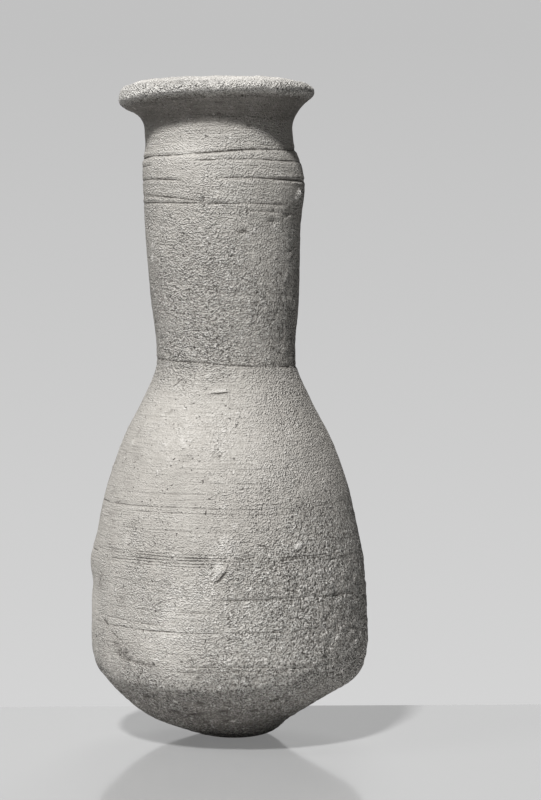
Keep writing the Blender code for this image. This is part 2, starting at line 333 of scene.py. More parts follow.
# The loose grains and small pits that lie all over: how many, how far they stand out and how pale they are.
# The pits' darker tone is painted shade in them. Sizes and heights are mm.
GRIT_SEED = 41
Grit = namedtuple("Grit", "count relief tone")
GRIT = (Grit(170, 0.10, 0.35), Grit(190, -0.16, -0.25))
GRIT_SMALLEST = 0.20
GRIT_SPREAD = 0.35
GRIT_SIZE_POWER = 2.5
GRIT_LONGEST = 2.4
GRIT_RELIEF_RANGE = (0.4, 1.3)
GRIT_TONE_RANGE = (0.2, 1.3)
GRIT_LOWEST = 0.6
GRIT_BELOW_TOP = 0.2

# The sandy grain of the mesh, and the drawn-out ridges of turning, which run in bands and fall to the right
# on the neck.
GRAIN_HEIGHT = 0.05 * MM
GRAIN_FIELD_SIZE = 0.9 * MM
DRAWN_HEIGHT = 0.035 * MM
DRAWN_SIZE = 0.45 * MM
DRAWN_STRETCH_ON_BODY = 16
DRAWN_STRETCH_ON_NECK = 13
DRAWN_FALL_ON_NECK = 0.17
DRAWN_NECK_TOP = 74 * MM
DRAWN_FADE = 2 * MM
BAND_SIZE = 5 * MM
BAND_STRETCH = 6
BAND_LEVEL = 0.55
BAND_SWING = 0.9
BAND_LIMITS = (0.1, 1.5)

# How much the finest relief fades from the front to the back, where the points stand further apart.
BACK_SOFTENING = 0.35

# Slow swellings all over, the chewed edge of the lip and the knocks round the keel.
SLOW_HEIGHT = 0.10 * MM
SLOW_SIZE = 15 * MM
LESS_SLOW_HEIGHT = 0.07 * MM
LESS_SLOW_SIZE = 5.5 * MM
CHEWED_HEIGHT = 0.12 * MM
CHEWED_SIZE = 1.9 * MM
KNOCKED_HEIGHT = 0.16 * MM
KNOCKED_SIZE = 2.8 * MM
KNOCKED_STRETCH = 1.4
KNOCKED_ABOVE_KEEL = 1 * MM
KNOCKED_REACH = 4 * MM

# The height above the table over which the slow swellings, and all relief of the outside, come in.
SLOW_RISE = 2 * MM
RELIEF_RISE = 0.7 * MM

# How the layers of the mesh's noise fade, and how much finer each is than the one before.
LAYER_FADE = 0.9
LAYER_STEP = 2.1

# Where the flaking crust lies, on the right above the keel.
CRUST_TURN = 62
CRUST_TURN_REACH = 36
CRUST_HEIGHT = 18 * MM
CRUST_HEIGHT_REACH = 12 * MM
CRUST_DEPTH = 0.09 * MM
CRUST_EDGE_POWER = 3
CRUST_TONE = 0.27
CRUST_FLAKE_SIZE = 1.1 * MM
CRUST_FLAKE_STRETCH = 1.2
CRUST_FLAKE_SHARE = 0.9
CRUST_TEAR = -0.12
CRUST_TEAR_WIDTH = 0.30
CRUST_RIDGE_SIZE = 2.4 * MM
CRUST_RIDGE_STEEPNESS = 2.4
CRUST_RIDGE_SHARE = 0.35

# How pale (above 0) or dark, and how coarse, the clay is at a height in mm from the table. The darkening of
# the underside and of the flare under the lip is painted shade, and the paling of the lip's rim and top is
# painted light.
TONE_AND_PAINTED_SHADING = (
    (0, -0.48), (7.5, -0.30), (10, 0.0), (13, 0.14), (21, 0.12), (30, 0.04), (42, -0.08),
    (50, 0.02), (53, 0.04), (62, 0.04), (72, 0.05), (83, 0.12), (84.5, -0.15), (86, -0.75),
    (87.8, -0.75), (88.6, 0.9), (90.4, 0.8), (90.9, 0.6), (92, 0.5),
)
COARSENESS = (
    (0, 1.9), (7.5, 1.8), (10, 1.6), (14, 1.25), (24, 1.1), (33, 0.65), (42, 0.32), (50, 0.75),
    (54, 1.25), (68, 1.0), (74, 0.72), (80, 0.56), (84, 0.45), (87.6, 0.3), (88.4, 1.2),
    (90.4, 1.2), (90.8, 0.5), (92, 0.45),
)

# How the coarseness of the body grows to the right of a turn, and how it varies and rises in the crust.
COARSE_FROM_TURN = 20
COARSE_TO_RIGHT = 1.1
COARSE_TO_LEFT = 0.6
COARSE_FADE = 6 * MM
COARSE_PATCH_SIZE = 9 * MM
COARSE_PATCH_SWING = 0.40
COARSE_IN_CRUST = 1.8
COARSE_LIMITS = (0.25, 3.6)

# Looks of the clay. The tints are linear colours, and the balance is 0 at the middle one.
CLAY = (0.40, 0.38, 0.35)
PALE_CLAY = (0.72, 0.70, 0.665)
DARK_CLAY = (0.13, 0.12, 0.108)
PALEST_BALANCE = 1.4
DARKEST_BALANCE = -1.0
CLAY_ROUGHNESS = 0.93
CLAY_SPECULAR = 0.25
BUMP_DEPTH = 0.42 * MM

# The sizes of the clay's textures, from coarse to fine. The strokes are drawn out round the vase and tilted.
BROAD_SIZE = 12 * MM
CLOUD_SIZE = 2.4 * MM
FLAKE_SIZE = 1.3 * MM
LUMP_SIZE = 0.85 * MM
SHARD_SIZE = 0.62 * MM
CHIP_SIZE = 0.55 * MM
HOLLOW_SIZE = 0.45 * MM
KNOB_SIZE = 0.33 * MM
GRAIN_SIZE = 0.30 * MM
SPECK_SIZE = 0.27 * MM
STROKE_SIZE = 0.26 * MM
SAND_SIZE = 0.18 * MM
STROKE_SQUEEZE = (0.06, 0.06, 1.0)
STROKE_TILT = math.radians(2)

# From which value of a texture to which other a thing sets in, and from what to what it goes if not 0 to 1.
PATCHES = (0.35, 0.65, 0.6, 1.4)
ROUGHER = (0.4, 2.2, -0.036, 0.072)
PIT_EDGE = (0.34, 0.27)
GRAIN_EDGE = (0.67, 0.73)
PALE_SPECKS = (0.62, 0.70)
DARK_SPECKS = (0.38, 0.30)
FLAKE_EDGE = (0.43, 0.57)
SHARD_EDGE = (0.38, 0.60, 0.0, 0.9)
STAIN_AND_LIGHT_BREAKUP = (0.3, 0.7, -0.5, 2.4)
CRUSTY = (0.6, 2.6)
SANDIEST = 1.8
SAND_IN_CRUST = 0.3

# How much each texture sways the balance of the colour, and the height of the bump. The same textures raise
# the bump and pale the colour, so hollows and pits are painted darker and raised grain paler: painted shade
# and light at the scale of the grain.
TINT = dict(
    broad=0.7, cloud=0.8, knobs=0.35, grain=1.0, strokes=0.4, sand=1.7, specks=1.2, grains=0.8, pits=-0.9
)
LIFT = dict(
    hollow=2.0, lumps=0.3, knobs=0.5, grain=0.5, strokes=0.4, sand=1.4, specks=0.35, grains=0.2, pits=-0.4
)

# The camera, as worked out from the photo's scale and perspective.
CAMERA_LENS = 117.0
CAMERA_PLACE = (5.713 * MM, -362.3 * MM, 67.805 * MM)
CAMERA_DOWN = math.radians(3.302)

# The light: a fairly hard lamp high on the left in front, a faint one on the left, one behind and a dim room.
KEY_TURN = math.radians(-22)
KEY_CLIMB = math.radians(51.5)
KEY_DISTANCE = 2.0
KEY_SIZE = 0.22
KEY_POWER = 64.0
FILL_PLACE = (-0.95, -0.25, 1.20)
FILL_SIZE = 0.5
FILL_POWER = 3.8
ROOM_LIGHT = 0.020
BACK_LIGHT_PLACE = (0.05, 0.75, 0.42)
BACK_LIGHT_SIZE = 0.30
BACK_LIGHT_POWER = 4.0

# The table and the plain backdrop behind it.
TABLE_WIDTH = 1.2
TABLE_FRONT = -0.9
TABLE_BACK = 22 * MM
TABLE_TURN = math.radians(1.6)
TABLE_THICKNESS = 0.02
TABLE_DROP = 0.02 * MM
TABLE_COLOUR = (0.269, 0.269, 0.269)
TABLE_BOUNCE_NEAR = 0.62
TABLE_BOUNCE_FAR = 0.10
TABLE_NEAR = 0.03
TABLE_FAR = 0.16
# The table top glows to the camera: painted light that lightens the shadows on it.
TABLE_GLOW = 0.30
TABLE_GLOSS = 0.40
TABLE_GLOSS_BOUNCE = 0.18
TABLE_GLOSS_ROUGHNESS = 0.09
BACKDROP_LOW = (0.655, 0.655, 0.655)
BACKDROP_HIGH = (0.535, 0.535, 0.535)
BACKDROP_LOW_AT = -0.17
BACKDROP_HIGH_AT = 0.08


def smooth(share):
    """Eases shares of 0 to 1 in and out."""
    share = np.clip(share, 0.0, 1.0)
    return share * share * (3 - 2 * share)


def bell(distance, reach):
    """1 at no distance, fading to nothing at about twice the reach."""
    return np.exp(-((distance / reach) ** 2))


def through(points, x):
    """The heights at x of a smooth curve through points that never overshoots them."""
    px, py = np.array(points, float).T
    steps = np.diff(py) / np.diff(px)
    before, after = steps[:-1], steps[1:]
    both = before + after
    bent = np.where(before * after > 0, 2 * before * after / np.where(both == 0, 1, both), 0)
    slopes = np.concatenate([steps[:1], bent, steps[-1:]])
    span = np.clip(np.searchsorted(px, x, side="left") - 1, 0, len(px) - 2)
    width = px[span + 1] - px[span]
    t = (x - px[span]) / width
    level = py[span] + (py[span + 1] - py[span]) * t * t * (3 - 2 * t)
    leaving = t * (1 - t) ** 2 * width * slopes[span]
    arriving = t * t * (t - 1) * width * slopes[span + 1]
    return level + leaving + arriving


def shoulder_radius(drop):
    """The body's outer radius at a share of the drop from the neck's root to the belly."""
    return NECK_ROOT_RADIUS + (BELLY_RADIUS - NECK_ROOT_RADIUS) * through(SHOULDER, drop)


def neck_radius(rise):
    """The neck's outer radius at a share of its length."""
    middle = (NECK_ROOT_RADIUS + NECK_FULL_RADIUS) / 2
    curve = (
        (0.0, NECK_ROOT_RADIUS),
        (0.08, NECK_ROOT_RADIUS),
        (0.27, middle),
        (0.57, 0.15 * middle + 0.85 * NECK_FULL_RADIUS),
        (0.74, NECK_FULL_RADIUS),
        (0.84, 0.9 * NECK_FULL_RADIUS + 0.1 * NECK_TOP_RADIUS),
        (0.94, NECK_TOP_RADIUS),
        (1.0, NECK_TOP_RADIUS),
    )
    return through(curve, rise)


def lip_point(turn):
    """A point of the lip's rounded edge, at a turn from its widest level up to its top."""
    reach = np.where(turn > 0, LIP_CROWN, LIP_CHIN)
    return LIP_RADIUS - LIP_ROUNDING * (1 - np.cos(turn)), LIP_WIDEST_HEIGHT + reach * np.sin(turn)


def wall_at(height):
    """How thick the clay is, measured level."""
    share = smooth((height - BELLY_HEIGHT) / BELLY_TO_NECK)
    return BODY_WALL + (NECK_WALL - BODY_WALL) * share


def stretches():
    """The section in stretches, up the outside and down the inside: radii, heights and the rings' step."""
    t = np.linspace(0, 1, STRETCH_POINTS)
    quarter = t * math.pi / 2
    foot = FOOT_RADIUS * t, 0 * t, UNDERSIDE_STEP
    underside = (
        FOOT_RADIUS + (KEEL_RADIUS - FOOT_RADIUS) * t,
        KEEL_HEIGHT * t**UNDERSIDE_POWER,
        UNDERSIDE_STEP,
    )
    keel = (
        KEEL_RADIUS + (BELLY_RADIUS - KEEL_RADIUS) * np.sin(quarter),
        KEEL_HEIGHT + KEEL_TO_BELLY * (1 - np.cos(quarter)),
        KEEL_STEP,
    )
    shoulder = shoulder_radius(1 - t), BELLY_HEIGHT + BELLY_TO_NECK * t, SHOULDER_STEP
    neck = neck_radius(t), NECK_ROOT_HEIGHT + NECK_LENGTH * t, NECK_STEP
    flare_radius, flare_top = lip_point(np.array(LIP_START))
    flare = (
        NECK_TOP_RADIUS + (flare_radius - NECK_TOP_RADIUS) * t**2,
        NECK_TOP_HEIGHT + (flare_top - NECK_TOP_HEIGHT) * t,
        FLARE_STEP,
    )
    lip = (*lip_point(LIP_START + (math.pi / 2 - LIP_START) * t), LIP_STEP)

    edge_radius, edge_height = LIP_RADIUS - LIP_ROUNDING, TOP_HEIGHT - LIP_TOP_RISE
    top = (
        edge_radius + (MOUTH_RADIUS + MOUTH_ROUNDING - edge_radius) * t,
        edge_height + LIP_TOP_RISE * np.sin(quarter),
        TOP_STEP,
    )
    mouth_edge = (
        MOUTH_RADIUS + MOUTH_ROUNDING * (1 - np.sin(quarter)),
        TOP_HEIGHT - MOUTH_ROUNDING * (1 - np.cos(quarter)),
        TOP_STEP,
    )

    mouth_foot = TOP_HEIGHT - MOUTH_DEPTH
    bore_top = neck_radius(np.array((mouth_foot - NECK_ROOT_HEIGHT) / NECK_LENGTH)) - NECK_WALL
    mouth = (
        bore_top + (MOUTH_RADIUS - bore_top) * (1 - np.sin(quarter)),
        mouth_foot + (MOUTH_DEPTH - MOUTH_ROUNDING) * np.cos(quarter),
        MOUTH_STEP,
    )
    bore_height = mouth_foot + (NECK_ROOT_HEIGHT - mouth_foot) * t
    bore = neck_radius((bore_height - NECK_ROOT_HEIGHT) / NECK_LENGTH) - NECK_WALL, bore_height, BORE_STEP
    inner_height = NECK_ROOT_HEIGHT - BELLY_TO_NECK * t
    inner = shoulder_radius(t) - wall_at(inner_height), inner_height, BOWL_STEP
    bowl = (
        inner[0][-1] * np.cos(quarter),
        BELLY_HEIGHT - (BELLY_HEIGHT - FLOOR_THICKNESS) * np.sin(quarter),
        BOWL_STEP,
    )
    return (foot, underside, keel, shoulder, neck, flare, lip, top, mouth_edge), (mouth, bore, inner, bowl)


def ringed(parts):
    """The section's stretches divided into rings at their own steps: radii and heights."""
    radii, heights = [], []
    for radius, height, step in parts:
        gone = np.concatenate([[0.0], np.cumsum(np.hypot(np.diff(radius), np.diff(height)))])
        stops = np.linspace(0, gone[-1], max(2, round(gone[-1] / step)) + 1)[1:]
        radii.append(np.interp(stops, gone, radius))
        heights.append(np.interp(stops, gone, height))
    return np.concatenate(radii), np.concatenate(heights)


def keel_eased(radius, height):
    """The rings with the corner at the keel worn round."""
    side = KEEL_EASING_RINGS // 2
    kernel = np.ones(KEEL_EASING_RINGS) / KEEL_EASING_RINGS
    worn = [np.convolve(np.pad(line, side, mode="edge"), kernel, mode="valid") for line in (radius, height)]
    share = bell(height - KEEL_HEIGHT, KEEL_EASING_REACH)
    return radius + (worn[0] - radius) * share, height + (worn[1] - height) * share


class Skin:
    """The skin's grid before relief: rings up the outside and down the inside, and points round each."""

    def __init__(self):
        outer, inner = stretches()
        radius, height = ringed(outer)
        radius, height = keel_eased(radius, height)
        inner_radius, inner_height = ringed(inner)
        self.rising = int(np.argmax(height)) + 1
        self.outer_rings = len(radius)
        self.radius = np.concatenate([radius, inner_radius[:-1]])
        self.height = np.concatenate([height, inner_height[:-1]])
        self.floor_height = inner_height[-1]
        self.path = np.concatenate([[0.0], np.cumsum(np.hypot(np.diff(self.radius), np.diff(self.height)))])
        along = np.gradient(self.radius, self.path), np.gradient(self.height, self.path)
        size = np.hypot(*along)
        self.out = along[1] / size, -along[0] / size
        even = np.linspace(-math.pi, math.pi, AROUND, endpoint=False)
        angle = even - FRONT_CROWDING * np.sin(even)
        self.turn = np.degrees(angle)
        self.fineness = 1 - BACK_SOFTENING + BACK_SOFTENING * np.cos(angle)
        self.across = np.outer(self.radius, np.sin(angle))
        self.deep = -np.outer(self.radius, np.cos(angle))
        self.level = np.repeat(self.height[:, None], AROUND, axis=1)
        self.outside = (np.arange(len(self.radius)) < self.outer_rings)[:, None]

    def off(self, turn, height):
        """How far every point lies round and up from a place on the outside."""
        place = np.interp(height, self.height[: self.rising], self.path[: self.rising])
        swing = (self.turn - turn + 180) % 360 - 180
        return self.radius[:, None] * np.radians(swing), (self.path - place)[:, None]

    def along_and_beside(self, mark):
        """How far every point lies along a mark from its middle, and to the side of it."""
        round_way, up = self.off(mark.turn, mark.height * MM)
        lie = math.radians(mark.lie)
        along = round_way * math.cos(lie) + up * math.sin(lie)
        return along, up * math.cos(lie) - round_way * math.sin(lie)

    def field(self, size, layers=1, stretch=1.0, fall=0.0, seed=0.0):
        """Smooth noise of about -1 to 1, with features of a size; stretch draws them out round the vase.

        The drawn-out features fall to the right by the share that fall gives.
        """
        wide = size * stretch
        rise = self.level + fall * self.across
        spots = np.stack([self.across / wide + seed, self.deep / wide, rise / size], axis=-1).reshape(-1, 3)
        if layers == 1:
            values = [noise.noise(Vector(spot)) for spot in spots]
        else:
            values = [noise.fractal(Vector(spot), LAYER_FADE, LAYER_STEP, layers) for spot in spots]
        return np.array(values).reshape(self.level.shape)


def hand_shaped(x, y, z):
    """Where a point of the true turned form stands on the real, uneven vase."""
    around = np.arctan2(y, x)
    swell_rise = (z - (TOP_HEIGHT - NECK_SWELL_BELOW_TOP)) / NECK_SWELL_REACH
    swell = NECK_SWELL * np.exp(-((around / NECK_SWELL_ANGLE) ** 2) - swell_rise**2)
    reach = np.hypot(x, y) + swell
    above_foot = smooth(z / SAG_HEIGHT)
    above_sag = smooth((z - SAG_HEIGHT) / SAG_FADE)
    up_shoulder = np.clip((z - BELLY_HEIGHT) / BELLY_TO_NECK, 0, 1)
    shift = FOOT_SHIFT * (1 - above_foot) - UNDERSIDE_SAG * above_foot * (1 - above_sag)
    shift = shift - SHOULDER_SHIFT * np.sin(math.pi * up_shoulder) ** 2
    shift = shift - LEAN * (np.clip(z, 0, None) / TOP_HEIGHT) ** LEAN_POWER
    at_lip = smooth((z - NECK_TOP_HEIGHT) / (LIP_WIDEST_HEIGHT - NECK_TOP_HEIGHT))
    at_top = smooth((z - LIP_WIDEST_HEIGHT) / LIP_CROWN)
    to_right = at_lip * np.tan(LIP_TILT + (TOP_TILT - LIP_TILT) * at_top)
    to_front = at_lip * math.tan(LIP_UNDERSIDE_TILT) * (1 - at_top)
    return reach * np.cos(around) + shift, reach * np.sin(around), z + to_right * x - to_front * y


def scored(skin):
    """The lines that turning left: their relief, and how far off and how deep each layer's line is.

    The shader reads the last two. The distance is in widths of the line's core and the depth in mm.
    """
    wander = LINE_WANDER * skin.field(LINE_WANDER_SIZE, seed=3.1)
    varied = LINE_STRENGTH + LINE_STRENGTH_SWING * skin.field(LINE_STRENGTH_SIZE, layers=2, seed=7.7)
    strength = np.clip(varied, *LINE_STRENGTH_LIMITS)
    relief = np.zeros_like(skin.level)
    nearest = np.full((*skin.level.shape, LINE_LAYERS), 1.0)
    widths_off = np.zeros_like(nearest)
    deep = np.zeros_like(nearest)
    for number, line in enumerate(sorted(LINES, key=lambda line: line.height)):
        _, up = skin.off(0, line.height * MM)
        climb = np.sin(np.radians(skin.turn)) * line.climb * MM
        off = up - climb + wander
        width = line.width * MM
        burrs = bell(off - BURR_AWAY * width, width) + bell(off + BURR_AWAY * width, width)
        furrow = bell(off, width) - BURR_SHARE * burrs
        ends = np.ones(AROUND)
        if line.end - line.start < 360:
            along = (skin.turn - line.start) % 360
            left = line.end - line.start - along
            ends = smooth(along / LINE_END_FADE) * smooth(left / LINE_END_FADE)
        relief -= LINE_DEPTH_SHARE * line.depth * MM * furrow * strength * ends
        layer = number % LINE_LAYERS
        nearer = (np.abs(off) < nearest[..., layer]) & (ends > 0)
        faded = smooth((LINE_REACH - np.abs(off)) / (LINE_FADE_SHARE * LINE_REACH))
        here = line.depth * strength * ends * faded
        nearest[..., layer] = np.where(nearer, np.abs(off), nearest[..., layer])
        widths_off[..., layer] = np.where(nearer, off / (LINE_CORE * width), widths_off[..., layer])
        deep[..., layer] = np.where(nearer, here, deep[..., layer])
    return relief, widths_off, deep


def marked(skin, marks, sharp=2.0):
    """The relief and the tone of single marks. A higher sharp gives steeper edges."""
    relief, tone = np.zeros_like(skin.level), np.zeros_like(skin.level)
    ragged = np.clip(1 + RAGGED_SWING * skin.field(RAGGED_SIZE, layers=2, seed=5.3), *RAGGED_LIMITS)
    for mark in marks:
        along, beside = skin.along_and_beside(mark)
        out = (along / (mark.length * MM)) ** 2 + (beside / (mark.width * MM)) ** 2
        spread = np.exp(-((out * ragged) ** (sharp / 2)))
        relief += mark.relief * MM * spread
        tone += mark.tone * spread
    return relief, tone


def cut(skin):
    """The cracks, for the shader: how far off the nearest is, in its widths, and how deep it is in mm."""
    wavering = CRACK_WAVER * skin.field(CRACK_WAVER_SIZE, seed=67.3)
    nearest = np.full(skin.level.shape, 1.0)
    widths_off = np.zeros_like(skin.level)
    deep = np.zeros_like(skin.level)
    for crack in CRACKS:
        along, straight = skin.along_and_beside(crack)
        beside = straight + wavering
        ends = smooth(CRACK_END - np.abs(along / (crack.length * MM)))
        here = crack.depth * ends * smooth((CRACK_REACH - np.abs(beside)) / CRACK_FADE)
        nearer = (np.abs(beside) < nearest) & (here > 0)
        nearest = np.where(nearer, np.abs(beside), nearest)
        widths_off = np.where(nearer, beside / (crack.width * MM), widths_off)
        deep = np.where(nearer, here, deep)
    return widths_off, deep


def ringed_marks(skin):
    """The relief and the tone of small rings: a raised edge round a shallow hollow."""
    relief, tone = np.zeros_like(skin.level), np.zeros_like(skin.level)
    for ring in RINGS:
        along, beside = skin.along_and_beside(ring)
        out = np.hypot(along / (ring.length * MM), beside / (ring.width * MM))
        profile = bell(out - 1, RING_EDGE) - RING_HOLLOW * bell(out, RING_HOLLOW_REACH)
        relief += ring.relief * MM * profile
        tone += ring.tone * profile
    return relief, tone


def scattered(skin):
    """Small grains that stand out and pits where others fell out, all over the outside."""
    rng = np.random.default_rng(GRIT_SEED)
    marks = []
    for grit in GRIT:
        for _ in range(grit.count):
            size = GRIT_SMALLEST + GRIT_SPREAD * rng.random() ** GRIT_SIZE_POWER
            marks.append(
                Mark(
                    turn=rng.uniform(-180, 180),
                    height=rng.uniform(GRIT_LOWEST, TOP_HEIGHT / MM - GRIT_BELOW_TOP),
                    lie=rng.uniform(0, 180),
                    length=size * rng.uniform(1.0, GRIT_LONGEST),
                    width=size,
                    relief=grit.relief * rng.uniform(*GRIT_RELIEF_RANGE),
                    tone=grit.tone * rng.uniform(*GRIT_TONE_RANGE),
                )
            )
    return marked(skin, marks, sharp=GRIT_SHARPNESS)


def crusted(skin):
    """The flaking crust low on the right: short ragged ridges with torn edges."""
    swing = (skin.turn - CRUST_TURN)[None, :] / CRUST_TURN_REACH
    rise = (skin.level - CRUST_HEIGHT) / CRUST_HEIGHT_REACH
    where = np.exp(-(np.abs(swing) ** CRUST_EDGE_POWER) - np.abs(rise) ** CRUST_EDGE_POWER) * skin.outside
    flakes = skin.field(CRUST_FLAKE_SIZE, layers=3, stretch=CRUST_FLAKE_STRETCH, seed=11.9)
    torn = smooth((flakes - CRUST_TEAR) / CRUST_TEAR_WIDTH)
    ridges = 1 - np.abs(skin.field(CRUST_RIDGE_SIZE, layers=2, seed=17.3)) * CRUST_RIDGE_STEEPNESS
    shape = CRUST_FLAKE_SHARE * (torn - 0.5) + CRUST_RIDGE_SHARE * np.clip(ridges, 0, 1)
    return CRUST_DEPTH * where * shape, where


def coarseness(skin, crust):
    """How coarse the clay is at every point, 1 on most of it."""
    by_height = through(COARSENESS, skin.level / MM)
    to_right = np.sin(np.radians(skin.turn - COARSE_FROM_TURN))[None, :]
    to_right = to_right * np.where(to_right > 0, COARSE_TO_RIGHT, COARSE_TO_LEFT)
    below_neck = smooth((NECK_ROOT_HEIGHT - skin.level) / COARSE_FADE)
    on_body = below_neck * smooth((skin.level - KEEL_HEIGHT) / COARSE_FADE)
    patchy = COARSE_PATCH_SWING * skin.field(COARSE_PATCH_SIZE, layers=2, seed=23.1)
    coarse = by_height * (1 + to_right * on_body + patchy) + COARSE_IN_CRUST * crust
    return np.clip(coarse, *COARSE_LIMITS)


def grained(skin, coarse):
    """The sandy grain and the faint drawn-out ridges of turning."""
    grain = GRAIN_HEIGHT * skin.field(GRAIN_FIELD_SIZE, layers=2, seed=29.7) * coarse
    on_body = skin.field(DRAWN_SIZE, layers=2, stretch=DRAWN_STRETCH_ON_BODY, seed=31.3)
    on_neck = skin.field(
        DRAWN_SIZE, layers=2, stretch=DRAWN_STRETCH_ON_NECK, fall=DRAWN_FALL_ON_NECK, seed=37.9
    )
    neck = smooth((skin.level - NECK_ROOT_HEIGHT) / DRAWN_FADE)
    neck = neck * smooth((DRAWN_NECK_TOP - skin.level) / DRAWN_FADE)
    banded = BAND_LEVEL + BAND_SWING * skin.field(BAND_SIZE, stretch=BAND_STRETCH, seed=43.1)
    drawn = DRAWN_HEIGHT * (on_body * (1 - neck) + on_neck * neck) * np.clip(banded, *BAND_LIMITS)
    return (grain + drawn * skin.outside) * skin.fineness


def uneven(skin):
    """Slow swellings that a true turned form would not have."""
    slow = SLOW_HEIGHT * skin.field(SLOW_SIZE, seed=47.7)
    slow = slow + LESS_SLOW_HEIGHT * skin.field(LESS_SLOW_SIZE, seed=53.9)
    on_lip = smooth((skin.level - LIP_WIDEST_HEIGHT + LIP_CHIN) / LIP_CHIN)
    chewed = CHEWED_HEIGHT * skin.field(CHEWED_SIZE, layers=2, seed=59.3) * on_lip
    on_keel = bell(skin.level - KEEL_HEIGHT - KNOCKED_ABOVE_KEEL, KNOCKED_REACH)
    knocked = KNOCKED_HEIGHT * skin.field(KNOCKED_SIZE, layers=3, stretch=KNOCKED_STRETCH, seed=61.1)
    return slow * smooth(skin.level / SLOW_RISE) + chewed + knocked * on_keel * skin.outside


def dressed(skin):
    """The relief of the skin, and what the shader reads from its points: single values and triples."""
    crust_relief, crust = crusted(skin)
    mark_relief, mark_tone = marked(skin, MARKS, sharp=MARK_SHARPNESS)
    ring_relief, ring_tone = ringed_marks(skin)
    swell_relief, _ = marked(skin, SWELLINGS)
    _, stain_and_light_tone = marked(skin, STAINS_AND_PAINTED_LIGHT, sharp=STAIN_AND_LIGHT_SHARPNESS)
    grit_relief, grit_tone = scattered(skin)
    line_relief, line_off, line_deep = scored(skin)
    cut_off, cut_deep = cut(skin)
    coarse = coarseness(skin, crust)
    outer_only = line_relief + crust_relief + mark_relief + ring_relief + swell_relief
    outer_only = outer_only + grit_relief * skin.fineness
    relief = outer_only * skin.outside + grained(skin, coarse) + uneven(skin)
    relief = relief * np.where(skin.outside, smooth(skin.level / RELIEF_RISE), 1.0)
    spots = (mark_tone + ring_tone + grit_tone) * skin.outside
    singles = {
        # the tone holds painted shade and light: by height, and on the marks
        "tone": through(TONE_AND_PAINTED_SHADING, skin.level / MM) + spots + CRUST_TONE * crust,
        "stain_and_light": stain_and_light_tone * skin.outside,
        "coarse": coarse,
        "cut_off": cut_off,
        "cut_deep": cut_deep * skin.outside,
    }
    kept = skin.outside[..., None]
    return relief, singles, {"line_off": line_off * kept, "line_deep": line_deep * kept}


def skin_mesh(skin):
    """The vase's skin as one closed mesh, with its tones, coarseness and lines stored on its points."""
    relief, singles, triples = dressed(skin)
    angle = np.radians(skin.turn)
    reach = skin.radius[:, None] + relief * skin.out[0][:, None]
    height = skin.level + relief * skin.out[1][:, None]
    x, y, z = hand_shaped(reach * np.sin(angle), -reach * np.cos(angle), height)
    z = np.maximum(z, 0.0)
    rings = np.stack([x, y, z], axis=-1).reshape(-1, 3)
    foot_centre = hand_shaped(*np.zeros(3))
    floor_centre = hand_shaped(*np.array([0.0, 0.0, skin.floor_height]))
    points = np.vstack([rings, foot_centre, floor_centre])

    count = len(skin.radius)
    index = np.arange(count * AROUND).reshape(count, AROUND)
    after = np.roll(index, -1, axis=1)
    quads = np.stack([index[:-1], after[:-1], after[1:], index[1:]], axis=-1).reshape(-1, 4).tolist()
    foot, floor = count * AROUND, count * AROUND + 1
    fans = [(foot, b, a) for a, b in zip(index[0].tolist(), after[0].tolist())]
    fans += [(floor, a, b) for a, b in zip(index[-1].tolist(), after[-1].tolist())]

    mesh = bpy.data.meshes.new("vase_skin")
    mesh.from_pydata(points.tolist(), [], quads + fans)
    for name, values in singles.items():
        stored = mesh.attributes.new(name, "FLOAT", "POINT")
        stored.data.foreach_set("value", np.append(values.ravel(), [values[0, 0], values[-1, 0]]))
    for name, values in triples.items():
        stored = mesh.attributes.new(name, "FLOAT_VECTOR", "POINT")
        stored.data.foreach_set("vector", np.append(values.ravel(), np.zeros(2 * LINE_LAYERS)))
    mesh.shade_smooth()
    mesh.update()
    return mesh


